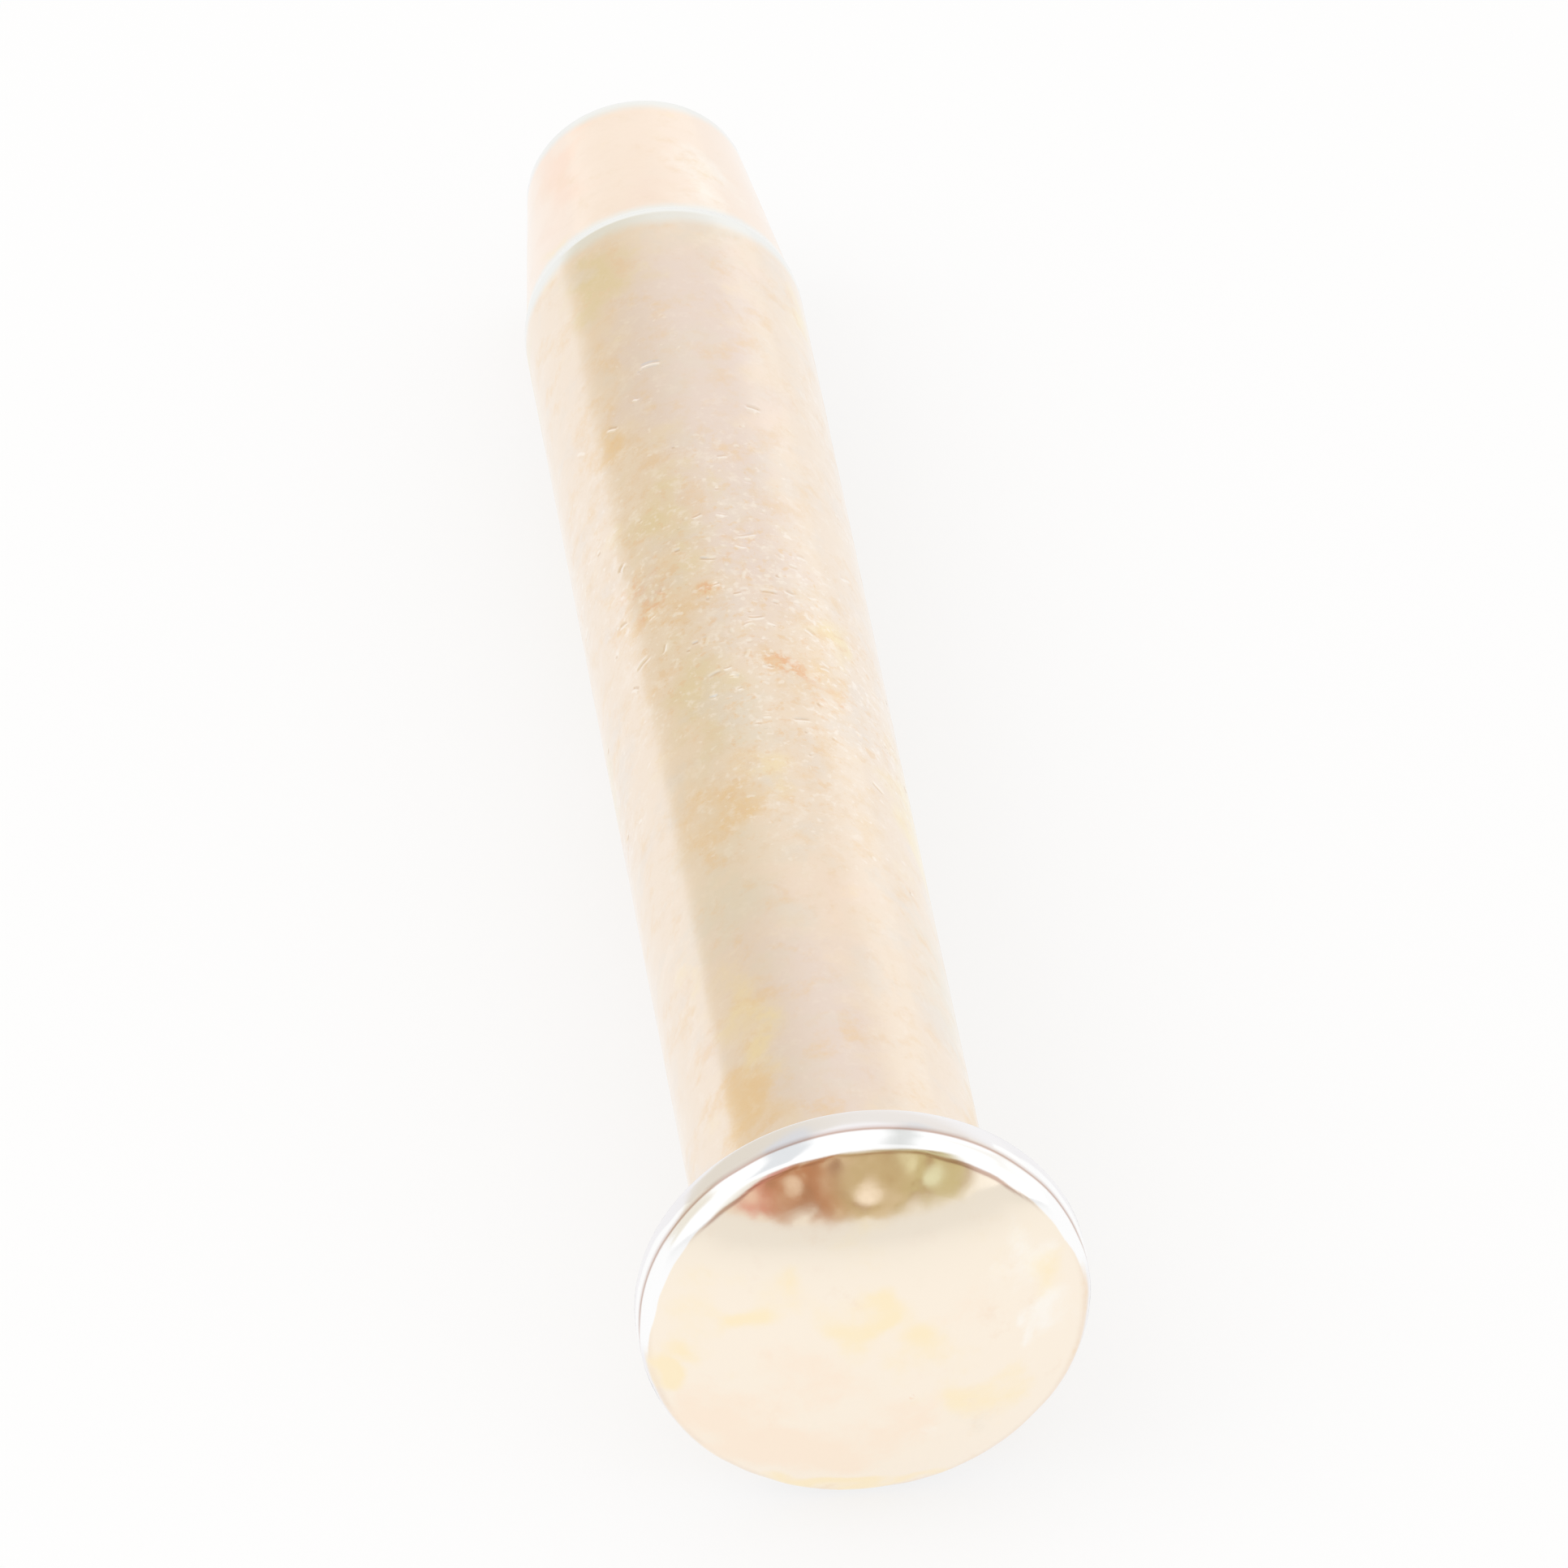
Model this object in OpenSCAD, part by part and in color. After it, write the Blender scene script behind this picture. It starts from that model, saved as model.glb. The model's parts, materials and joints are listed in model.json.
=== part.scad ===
// Solid steel rivet: a low crowned head, a long plain shank and a short tapered point.
// It lies on its side, as it comes to rest: on the edge of its head and on the shoulder
// between shank and point. +X runs from the head towards the point, +Z is up, and the
// origin is on the surface below the middle of its length. All sizes are in millimetres.

/* [Shank] */
// Diameter of the plain shank
shank_d = 8; // [6:0.1:9]
// Length of the plain shank, from the bearing face under the head to the shoulder
shank_len = 44.4; // [20:0.1:90]

/* [Head] */
// Diameter of the head
head_d = 12.2; // [11.6:0.1:16]
// Height of the straight side wall of the head
wall_h = 0.75; // [0.3:0.05:2]
// Radius of the rounded edge between the side wall and the crown
rim_r = 0.55; // [0.2:0.05:1]
// Radius of the crown, the low dome that the head is formed to
crown_r = 13; // [10:0.5:60]
// Radius of the edge round the bearing face
bearing_edge_r = 0.1; // [0.05:0.05:0.3]
// Radius of the neck, the fillet between the bearing face and the shank
neck_r = 0.3; // [0.1:0.05:0.6]

/* [Point] */
// Length of the point, from the shoulder to the flat end
point_len = 7; // [4:0.1:10]
// Taper of the point, in degrees a side
point_taper = 6.7; // [2:0.1:10]
// How far the shoulder steps in from the shank, a side
shoulder_step = 0.1; // [0.05:0.01:0.3]
// Radius of the outer edge of the shoulder
shoulder_r = 0.8; // [0.3:0.05:1.2]
// Radius of the hollow at the foot of the shoulder
root_r = 0.5; // [0.2:0.05:1]
// Radius of the edge round the flat end
end_edge_r = 0.3; // [0.1:0.05:0.6]

/* [Hidden] */
// Faces round the axis, and steps along each arc of the profile
around = 128;
arc_steps = 10;

shank_r = shank_d / 2;
head_r = head_d / 2;

// The profile has its radius in x and its place along the axis in y: the bearing face
// is at y = 0, the head below it and the shank above it.

// The crown's centre is on the axis, and the crown runs smoothly into the rounded edge,
// crown_half_angle away from the axis
crown_half_angle = asin((head_r - rim_r) / (crown_r - rim_r));
crown_y = (crown_r - rim_r) * cos(crown_half_angle) - wall_h;

// The shoulder turns from the shank by shoulder_turn and its root turns back to the
// taper, so that together they step in by shoulder_step
shoulder_turn = acos(
    (shoulder_r + root_r * cos(point_taper) - shoulder_step) / (shoulder_r + root_r)
);
root_x = shank_r - shoulder_step + root_r * cos(point_taper);
root_y = shank_len + (shoulder_r + root_r) * sin(shoulder_turn);
taper_x = shank_r - shoulder_step;
taper_y = root_y - root_r * sin(point_taper);

// The flat end, and the centre of the edge round it
end_y = shank_len + point_len;
end_edge_y = end_y - end_edge_r;
end_edge_x = taper_x - (end_edge_y - taper_y) * tan(point_taper)
    - end_edge_r / cos(point_taper);

// Angle at which the rivet lies when the edge of its head and the edge with radius r
// and centre [x, y] of the profile are both on the surface
function lying_angle(x, y, r) =
    let (drop = head_r - bearing_edge_r - x, run = y + bearing_edge_r)
    atan(drop / run) + asin((bearing_edge_r - r) / norm([drop, run]));

// It comes down on the shoulder, or on the flat end's edge if that touches first
lie = min(
    lying_angle(shank_r - shoulder_r, shank_len, shoulder_r),
    lying_angle(end_edge_x, end_edge_y, end_edge_r)
);

// Height of the bearing face's centre over the surface, and how far the rivet reaches
// each way along X from there
lift = (head_r - bearing_edge_r) * cos(lie) + bearing_edge_r * (1 - sin(lie));
reach_head = lie < crown_half_angle
    ? crown_r - crown_y * cos(lie)
    : wall_h * cos(lie) + (head_r - rim_r) * sin(lie) + rim_r;
reach_end = end_edge_y * cos(lie) + end_edge_x * sin(lie) + end_edge_r;

// Points on an arc about centre c, from angle a0 to angle a1
function arc(c, r, a0, a1) = [
    for (i = [0:arc_steps])
        let (a = a0 + (a1 - a0) * i / arc_steps)
        c + r * [cos(a), sin(a)]
];

// Half section of the head, from the tip of the crown to the foot of the neck
function head_profile() = concat(
    arc([0, crown_y], crown_r, -90, crown_half_angle - 90),
    arc([head_r - rim_r, -wall_h], rim_r, crown_half_angle - 90, 0),
    arc([head_r - bearing_edge_r, -bearing_edge_r], bearing_edge_r, 0, 90),
    arc([shank_r + neck_r, neck_r], neck_r, 270, 180)
);

// Half section of the point, from the shoulder to the middle of the flat end
function point_profile() = concat(
    arc([shank_r - shoulder_r, shank_len], shoulder_r, 0, shoulder_turn),
    arc([root_x, root_y], root_r, 180 + shoulder_turn, 180 + point_taper),
    arc([end_edge_x, end_edge_y], end_edge_r, point_taper, 90),
    [[0, end_y]]
);

// The rivet upright on its axis, with its point up
module turned_body() {
    rotate_extrude($fn = around)
        polygon(concat(head_profile(), point_profile()));
}

module rivet() {
    color("#f0dcb8")
        translate([(reach_head - reach_end) / 2, 0, lift])
            rotate([0, 90 + lie, 0])
                turned_body();
}

rivet();
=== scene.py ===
import json
import math
import random

import bpy
import numpy as np
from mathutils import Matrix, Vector

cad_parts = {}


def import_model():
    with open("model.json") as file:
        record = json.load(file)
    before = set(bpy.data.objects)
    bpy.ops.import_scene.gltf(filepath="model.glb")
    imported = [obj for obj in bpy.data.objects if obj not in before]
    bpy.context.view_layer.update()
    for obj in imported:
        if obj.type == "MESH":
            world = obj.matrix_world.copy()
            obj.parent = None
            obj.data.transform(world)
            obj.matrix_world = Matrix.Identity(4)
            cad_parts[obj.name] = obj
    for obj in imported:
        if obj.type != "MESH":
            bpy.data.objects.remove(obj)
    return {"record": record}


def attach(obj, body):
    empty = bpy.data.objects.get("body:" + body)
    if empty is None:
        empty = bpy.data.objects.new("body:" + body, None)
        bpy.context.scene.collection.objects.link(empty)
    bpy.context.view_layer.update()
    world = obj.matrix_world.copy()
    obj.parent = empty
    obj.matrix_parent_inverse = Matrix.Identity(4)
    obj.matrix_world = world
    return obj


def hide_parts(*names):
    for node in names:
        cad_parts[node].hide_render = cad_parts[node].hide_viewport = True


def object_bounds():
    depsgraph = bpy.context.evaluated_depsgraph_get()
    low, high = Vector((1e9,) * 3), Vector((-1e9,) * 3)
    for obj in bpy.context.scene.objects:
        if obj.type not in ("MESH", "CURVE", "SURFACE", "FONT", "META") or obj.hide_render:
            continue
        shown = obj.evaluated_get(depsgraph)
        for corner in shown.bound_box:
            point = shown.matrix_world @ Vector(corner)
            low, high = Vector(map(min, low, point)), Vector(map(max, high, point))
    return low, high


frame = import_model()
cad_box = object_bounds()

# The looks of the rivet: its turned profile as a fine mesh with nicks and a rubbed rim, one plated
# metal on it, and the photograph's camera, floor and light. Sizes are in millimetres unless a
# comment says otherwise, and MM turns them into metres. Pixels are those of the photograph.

MM = 0.001                    # one millimetre in metres

# ---------------------------------------------------------------- the rivet's place and sizes
MOUNTS = {m["name"]: m for m in frame["record"]["mounts"]}
AXIS = np.array(MOUNTS["shank"]["axis"], float)
AXIS /= np.linalg.norm(AXIS)                          # from the head to the point
SIDE = np.array([0.0, 1.0, 0.0])
UP = np.cross(AXIS, SIDE)                             # square to the axis, away from the floor
# the middle of the bearing face
SEAT = np.array(MOUNTS["bearing_face"]["pos_m"], float) * [1, 0, 1] / MM

SHANK_R = MOUNTS["shank"]["dims"]["r_mm"]
HEAD_R = (cad_box[1][1] - cad_box[0][1]) / 2 / MM
NECK_R = 0.3
SHANK_LEN = MOUNTS["shank"]["dims"]["length_mm"] + NECK_R
WALL_H = 0.75
RIM_R = 0.55
CROWN_R = 13.0
BEARING_EDGE_R = 0.1
POINT_LEN = 7.0
POINT_TAPER = math.radians(6.7)
SHOULDER_STEP = 0.1
SHOULDER_R = 0.8
ROOT_R = 0.5
END_EDGE_R = 0.3

CROWN_HALF = math.asin((HEAD_R - RIM_R) / (CROWN_R - RIM_R))
CROWN_Y = (CROWN_R - RIM_R) * math.cos(CROWN_HALF) - WALL_H
SHOULDER_TURN = math.acos(
    (SHOULDER_R + ROOT_R * math.cos(POINT_TAPER) - SHOULDER_STEP) / (SHOULDER_R + ROOT_R))
ROOT_X = SHANK_R - SHOULDER_STEP + ROOT_R * math.cos(POINT_TAPER)
ROOT_Y = SHANK_LEN + (SHOULDER_R + ROOT_R) * math.sin(SHOULDER_TURN)
TAPER_X = SHANK_R - SHOULDER_STEP
TAPER_Y = ROOT_Y - ROOT_R * math.sin(POINT_TAPER)
END_Y = SHANK_LEN + POINT_LEN
END_EDGE_Y = END_Y - END_EDGE_R
END_EDGE_X = (TAPER_X - (END_EDGE_Y - TAPER_Y) * math.tan(POINT_TAPER)
              - END_EDGE_R / math.cos(POINT_TAPER))

# ---------------------------------------------------------------- camera
PICTURE = 1932.0              # the photograph's frame, in pixels
SENSOR = 36.0
LENS = 459.86
ELEVATION = math.radians(39.562)
AZIMUTH = math.radians(-7.054)
DISTANCE = 552.96
AIM = SEAT + np.array([23.737, -0.878, -2.0886])      # what the middle of the picture shows

FORWARD = np.array([math.cos(ELEVATION) * math.cos(AZIMUTH),
                    math.cos(ELEVATION) * math.sin(AZIMUTH), -math.sin(ELEVATION)])
EYE = AIM - FORWARD * DISTANCE
AWAY = np.array([math.cos(AZIMUTH), math.sin(AZIMUTH), 0.0])    # level, away from the camera
LEFT = np.array([-math.sin(AZIMUTH), math.cos(AZIMUTH), 0.0])   # level, to the picture's left
DOWN = np.cross(LEFT, FORWARD)
if DOWN[2] > 0:
    DOWN = -DOWN


def camera():
    """The photograph's camera."""
    data = bpy.data.cameras.new("camera")
    data.lens = LENS
    data.sensor_width = SENSOR
    data.clip_start = 0.01
    data.clip_end = 20.0
    obj = bpy.data.objects.new("camera", data)
    obj.location = EYE * MM
    obj.rotation_euler = Vector(FORWARD).to_track_quat("-Z", "Y").to_euler()
    bpy.context.scene.collection.objects.link(obj)
    bpy.context.scene.camera = obj


def sight(x, y):
    """The line of sight through a pixel of the photograph."""
    f = LENS / SENSOR * PICTURE
    d = FORWARD * f - LEFT * (x - PICTURE / 2) + DOWN * (y - PICTURE / 2)
    return d / np.linalg.norm(d)


def on_shank(x, y):
    """Where a pixel's line of sight meets the shank."""
    d = sight(x, y)
    o = EYE - SEAT
    d2 = d - AXIS * d.dot(AXIS)
    o2 = o - AXIS * o.dot(AXIS)
    a, b, c = d2.dot(d2), 2 * d2.dot(o2), o2.dot(o2) - SHANK_R ** 2
    root = max(b * b - 4 * a * c, 0.0)
    return EYE + d * (-b - math.sqrt(root)) / (2 * a)


def on_crown(x, y):
    """Where a pixel's line of sight meets the head's crown."""
    d = sight(x, y)
    o = EYE - (SEAT + AXIS * CROWN_Y)
    b, c = 2 * d.dot(o), o.dot(o) - CROWN_R ** 2
    return EYE + d * (-b - math.sqrt(max(b * b - 4 * c, 0.0))) / 2


# ---------------------------------------------------------------- the turned surface
COLUMNS = 160                 # cells round the rivet
SPLIT_ROUND = 4               # finer cells where a nick is
SPLIT_ALONG = 8


def arc(cx, cy, r, a0, a1, steps, hollow=False):
    """Part of the profile: steps, and a function of 0 to 1 giving place and outward normal."""
    def at(t):
        a = a0 + (a1 - a0) * t
        n = (math.cos(a), math.sin(a))
        s = -1 if hollow else 1
        return cx + r * n[0], cy + r * n[1], s * n[0], s * n[1]
    return steps, at


def line(x0, y0, x1, y1, steps):
    """A straight part of the profile, as steps and a function like arc's."""
    size = math.hypot(x1 - x0, y1 - y0)
    n = ((y1 - y0) / size, -(x1 - x0) / size)

    def at(t):
        return x0 + (x1 - x0) * t, y0 + (y1 - y0) * t, n[0], n[1]
    return steps, at


def profile():
    """The rivet's half profile, from the top of the crown to the middle of the point's end."""
    quarter = math.pi / 2
    taper_end = (END_EDGE_X + END_EDGE_R * math.cos(POINT_TAPER),
                 END_EDGE_Y + END_EDGE_R * math.sin(POINT_TAPER))
    return [
        arc(0, CROWN_Y, CROWN_R, -quarter, CROWN_HALF * 0.8 - quarter, 20),
        arc(0, CROWN_Y, CROWN_R, CROWN_HALF * 0.8 - quarter, CROWN_HALF - quarter, 22),
        arc(HEAD_R - RIM_R, -WALL_H, RIM_R, CROWN_HALF - quarter, 0, 12),
        line(HEAD_R, -WALL_H, HEAD_R, -BEARING_EDGE_R, 4),
        arc(HEAD_R - BEARING_EDGE_R, -BEARING_EDGE_R, BEARING_EDGE_R, 0, quarter, 4),
        line(HEAD_R - BEARING_EDGE_R, 0, SHANK_R + NECK_R, 0, 8),
        arc(SHANK_R + NECK_R, NECK_R, NECK_R, 3 * quarter, 2 * quarter, 5, True),
        line(SHANK_R, NECK_R, SHANK_R, SHANK_LEN, 140),
        arc(SHANK_R - SHOULDER_R, SHANK_LEN, SHOULDER_R, 0, SHOULDER_TURN, 6),
        arc(ROOT_X, ROOT_Y, ROOT_R, math.pi + SHOULDER_TURN, math.pi + POINT_TAPER, 4, True),
        line(TAPER_X, TAPER_Y, taper_end[0], taper_end[1], 22),
        arc(END_EDGE_X, END_EDGE_Y, END_EDGE_R, POINT_TAPER, quarter, 8),
        line(END_EDGE_X, END_Y, 0, END_Y, 10),
    ]


def rows_of(parts):
    """The profile's fine rows as (radius, along, normal out, normal along)."""
    rows = []
    for steps, at in parts:
        n = steps * SPLIT_ALONG
        rows += [at(k / n) for k in range(n)]
    rows.append(parts[-1][1](1.0))
    return np.array(rows)


def place(row, angle):
    """Points and outward normals, in mm, for profile rows and angles from UP towards SIDE."""
    out = np.cos(angle)[..., None] * UP + np.sin(angle)[..., None] * SIDE
    p = SEAT + row[..., 1, None] * AXIS + row[..., 0, None] * out
    n = row[..., 3, None] * AXIS + row[..., 2, None] * out
    return p, n


# ---------------------------------------------------------------- nicks
# x, y, length in pixels, tilt in degrees (rising to the right), depth in mm before NICK_DEPTH
NICKS = (
    (801, 447, 26, 15, 0.020), (928, 502, 20, -18, 0.022), (784, 490, 7, 0, 0.020),
    (755, 527, 12, 10, 0.014), (889, 561, 14, 5, 0.012), (889, 633, 14, -12, 0.018),
    (858, 635, 14, 25, 0.018), (919, 659, 25, 8, 0.022), (913, 672, 16, -14, 0.018),
    (764, 701, 12, 70, 0.016), (986, 685, 12, -20, 0.014), (912, 707, 12, 75, 0.014),
    (882, 719, 9, 20, 0.024), (1040, 712, 12, -20, 0.014), (908, 730, 12, 12, 0.018),
    (973, 730, 14, -25, 0.020), (1000, 735, 12, -10, 0.016), (932, 760, 22, 4, 0.022),
    (919, 767, 14, 25, 0.020), (952, 767, 12, -16, 0.018), (768, 769, 12, 40, 0.018),
    (999, 778, 15, -38, 0.018), (867, 790, 14, 75, 0.020), (818, 799, 13, 80, 0.018),
    (917, 804, 13, 70, 0.016), (947, 820, 16, -14, 0.020), (896, 822, 12, 18, 0.016),
    (1016, 822, 14, -20, 0.016), (784, 847, 8, 0, 0.020), (911, 847, 8, 20, 0.018),
    (945, 881, 12, 4, 0.016), (988, 886, 22, -4, 0.018),
)
NICK_DEPTH = 0.80             # share of those depths that is kept
NICK_W = 0.062                # half width of a groove, in mm
NICK_REACH = 1.14             # a nick ends at this many half lengths from its middle
SHORTEST_HALF = 0.08          # half length of the shortest pictured nick, in mm
SEEDED_NICKS = 100
FAR_CLUSTERS = 22

# x, y, radius in mm, strength: where small nicks and specks gather
CLUSTERS = (
    (800, 740, 1.3, 1.0), (872, 722, 1.2, 0.9), (925, 775, 1.6, 1.0), (962, 828, 1.3, 1.0),
    (1015, 862, 1.3, 0.8), (905, 662, 1.4, 0.8), (880, 560, 1.4, 0.5), (1010, 790, 1.4, 0.7),
    (850, 850, 1.5, 0.6), (920, 985, 1.5, 0.7), (790, 640, 1.3, 0.5), (975, 700, 1.3, 0.5),
    (985, 910, 1.4, 0.5), (800, 430, 1.2, 0.3), (760, 560, 1.0, 0.4), (1045, 1010, 1.4, 0.4),
)


def clusters():
    """(along, angle, radius, strength) of every cluster, those of the far side seeded."""
    made = []
    for x, y, radius, strength in CLUSTERS:
        d = on_shank(x, y) - SEAT
        made.append((d.dot(AXIS), math.atan2(d.dot(SIDE), d.dot(UP)), radius, strength))
    rng = random.Random(5)
    for _ in range(FAR_CLUSTERS):
        made.append((rng.triangular(10, 42, 30), math.radians(rng.uniform(80, 300)),
                     rng.uniform(1.0, 1.8), rng.uniform(0.4, 1.0)))
    return made


def cluster_of(rows, angle):
    """How thickly small marks gather, from 0 to about 1, for points on the shank."""
    total = np.zeros(len(rows))
    for along, middle, radius, strength in clusters():
        turn = (angle - middle + math.pi) % (2 * math.pi) - math.pi
        reach = ((rows[:, 1] - along) ** 2 + (SHANK_R * turn) ** 2) / (2.0 * radius ** 2)
        total += strength * np.exp(-reach)
    return np.clip(total, 0, 1.2) * (rows[:, 1] > 0)


def seeded_nicks():
    """(middle, run, out, half length, depth) of small nicks all round the shank, in mm."""
    made = []
    rng = random.Random(7)
    homes = clusters()
    strengths = [home[3] for home in homes]
    for _ in range(SEEDED_NICKS):
        along, angle, radius, _strength = rng.choices(homes, strengths)[0]
        along += rng.gauss(0, radius)
        angle += rng.gauss(0, radius) / SHANK_R
        half = 0.05 + min(rng.expovariate(1 / 0.06), 0.22)
        tilt = math.radians(rng.gauss(0, 20))
        if rng.random() < 0.2:
            tilt += math.radians(70)
        out = math.cos(angle) * UP + math.sin(angle) * SIDE
        round_ = -math.sin(angle) * UP + math.cos(angle) * SIDE
        middle = SEAT + AXIS * along + out * SHANK_R
        run = round_ * math.cos(tilt) + AXIS * math.sin(tilt)
        made.append((middle, run, out, half, rng.uniform(0.005, 0.014)))
    return made


def shank_normal(p):
    """The shank's outward direction at point p."""
    d = p - SEAT
    d = d - AXIS * d.dot(AXIS)
    return d / np.linalg.norm(d)


def pictured_nicks():
    """The nicks placed from the photograph, as seeded_nicks gives them."""
    made = []
    for x, y, size, tilt, depth in NICKS:
        dx = math.cos(math.radians(tilt)) * size / 2
        dy = -math.sin(math.radians(tilt)) * size / 2
        a, b = on_shank(x - dx, y - dy), on_shank(x + dx, y + dy)
        middle = (a + b) / 2
        half = np.linalg.norm(b - a) / 2
        made.append((middle, (b - a) / (2 * half), shank_normal(middle),
                     max(half, SHORTEST_HALF), depth * NICK_DEPTH))
    return made


def nick_shape(p, nick, bend):
    """A nick at points p: how deep its groove is and how high its raised edge is, from 0 to 1; the
    same amounts set the groove's dirt and painted shade and the raised edge's rub and painted
    highlight.
    """
    middle, run, out, half, _depth = nick
    cross = np.cross(out, run)
    d = p - middle
    u = (d @ run) / half
    w = (d @ cross) / NICK_W
    w = w - bend * 0.8 * u * u
    near = np.abs(d @ out) < 1.0
    taper = np.clip(1.3 - u * u, 0, 1)
    taper = taper * taper * (3 - 2 * taper) * (np.abs(u) < NICK_REACH) * near
    groove = np.exp(-w * w) * taper
    lip = (0.6 * np.exp(-(w + 1.7) ** 2) + 0.15 * np.exp(-(w - 1.8) ** 2)) * taper
    return groove, lip


# ---------------------------------------------------------------- shapes over the surface
def waves(p, lengths, size, count, seed):
    """A smooth random relief between -size and size, made of plane waves."""
    rng = np.random.RandomState(seed)
    total = np.zeros(len(p))
    for _ in range(count):
        d = rng.normal(size=3)
        d /= np.linalg.norm(d)
        length = rng.uniform(*lengths)
        total += np.cos(p @ d * 2 * math.pi / length + rng.uniform(0, 2 * math.pi))
    spread = math.sqrt(count / 2)         # the standard deviation of such a sum
    return size * np.clip(total / (2.2 * spread), -1, 1)


def bump_of(x, middle, width):
    """A smooth bump of height 1."""
    return np.exp(-((x - middle) / width) ** 2)


def step_of(x, low, high):
    """A smooth step from 0 at low to 1 at high."""
    t = np.clip((x - low) / (high - low), 0, 1)
    return t * t * (3 - 2 * t)


def turned_of(angle):
    """Degrees from UP towards SIDE, from -180 to 180."""
    return np.degrees((angle + math.pi) % (2 * math.pi) - math.pi)


# ---------------------------------------------------------------- stains of the plating, and a painted reflection at the head's lower edge
# kind, x, y, half length along the axis and half width round it, both in mm, strength; on the
# crown the half length is up and down and the half width from side to side
STAINS = (
    ("olive", 735, 345, 1.8, 1.3, 0.80), ("orange", 744, 425, 2.6, 0.8, 0.45),
    ("orange", 752, 545, 1.1, 0.6, 0.75), ("olive", 820, 640, 3.2, 1.5, 0.55),
    ("orange", 800, 735, 1.6, 1.3, 0.60), ("orange", 880, 722, 0.8, 0.6, 0.70),
    ("olive", 850, 860, 3.4, 1.4, 0.50), ("yellow", 1032, 790, 1.3, 0.6, 0.80),
    ("yellow", 958, 950, 1.2, 0.7, 0.75), ("orange", 924, 998, 0.8, 0.6, 1.00),
    ("orange", 870, 1000, 2.6, 1.2, 0.50), ("lilac", 870, 480, 2.6, 1.6, 0.55),
    ("lilac", 905, 580, 2.2, 1.4, 0.55), ("lilac", 930, 700, 2.0, 1.6, 0.45),
    ("grey", 900, 880, 2.6, 1.4, 0.50), ("lilac", 900, 1150, 4.0, 1.7, 0.50),
    ("yellow", 935, 1270, 2.6, 0.8, 0.85), ("orange", 920, 1360, 2.2, 1.0, 0.85),
    ("pink", 1030, 1120, 6.0, 1.6, 0.35), ("lilac", 1010, 1280, 3.4, 1.6, 0.45),
    ("orange", 1070, 1025, 1.0, 0.6, 0.60), ("rust", 797, 742, 1.1, 0.9, 0.80),
    ("rust", 878, 724, 0.45, 0.5, 0.85), ("rust", 968, 822, 0.55, 0.8, 0.85),
    ("rust", 1030, 862, 0.7, 0.6, 0.70), ("pink", 950, 520, 4.5, 1.0, 0.45),
    ("grey", 880, 300, 1.6, 1.3, 0.50), ("yellow", 850, 1220, 2.4, 0.6, 0.45),
    ("pink", 760, 1010, 7.0, 1.0, 0.45), ("orange", 1000, 830, 2.4, 1.3, 0.50),
    ("orange", 690, 190, 1.6, 0.8, 0.35), ("lilac", 850, 330, 2.4, 2.0, 0.65),
    ("pink", 905, 310, 2.2, 1.3, 0.50), ("lilac", 850, 420, 2.8, 1.6, 0.60),
    ("lilac", 900, 640, 4.0, 2.2, 0.45), ("lilac", 820, 440, 3.4, 2.0, 0.80),
    ("lilac", 925, 780, 2.4, 1.6, 0.35), ("lilac", 985, 1320, 3.4, 2.4, 0.60),
    ("grey", 900, 1090, 4.6, 2.2, 0.55), ("lilac", 1000, 1180, 3.6, 1.8, 0.45),
    ("yellow", 672, 300, 1.6, 0.6, 0.60), ("smudge", 880, 230, 3.0, 1.0, 0.60),
    ("orange", 840, 180, 1.4, 0.8, 0.45), ("pink", 790, 230, 2.0, 1.0, 0.50),
    ("rosy", 668, 190, 2.4, 1.1, 1.20), ("yellow", 860, 210, 2.0, 0.8, 0.30),
)
CROWN_STAINS = (
    ("gold", 826, 1700, 0.60, 0.6, 1.50), ("gold", 855, 1662, 0.4, 0.8, 0.70),
    ("gold", 972, 1598, 0.6, 0.8, 0.75), ("gold", 925, 1628, 0.4, 0.6, 0.75),
    ("gold", 1045, 1632, 0.7, 0.9, 0.80), ("gold", 1095, 1620, 0.4, 0.6, 0.65),
    ("gold", 1140, 1662, 0.8, 1.0, 0.70), ("gold", 1205, 1718, 0.7, 1.0, 0.80),
    ("gold", 860, 1610, 1.0, 1.2, 0.45), ("gold", 1280, 1575, 1.4, 0.6, 0.55),
    ("blush", 1010, 1700, 1.2, 1.8, 0.60), ("blush", 980, 1790, 1.0, 2.4, 0.95),
    ("blush", 1190, 1610, 1.2, 0.9, 0.50), ("blush", 880, 1750, 1.2, 1.2, 0.80),
    ("blush", 1130, 1760, 1.2, 1.2, 0.60),
    # the thin gold and orange bands along the head's lower edge, next to the floor, are painted
    # reflection: the deeper colour of light bouncing between metal and floor
    ("gold", 1040, 1830, 0.28, 3.0, 0.90), ("orange", 1040, 1838, 0.10, 2.6, 0.55),
    ("rust", 1128, 1727, 0.22, 0.30, 0.60),
    ("gold", 1225, 1745, 0.6, 0.5, 0.35), ("gold", 1060, 1530, 0.5, 2.2, 0.30),
    ("smudge", 1262, 1560, 0.8, 0.45, 1.0), ("smudge", 1290, 1612, 0.7, 0.5, 1.1),
    ("smudge", 1262, 1655, 0.7, 0.2, 0.9), ("smudge", 1140, 1775, 0.3, 0.7, 0.6),
)
KINDS = ("olive", "orange", "yellow", "lilac", "pink", "grey", "rust", "smudge", "gold",
         "blush", "rosy")
WARP = 0.55                   # mm, how far a stain's outline is moved
SEEDED_STAINS = 64            # on the side that the photograph doesn't show


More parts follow.
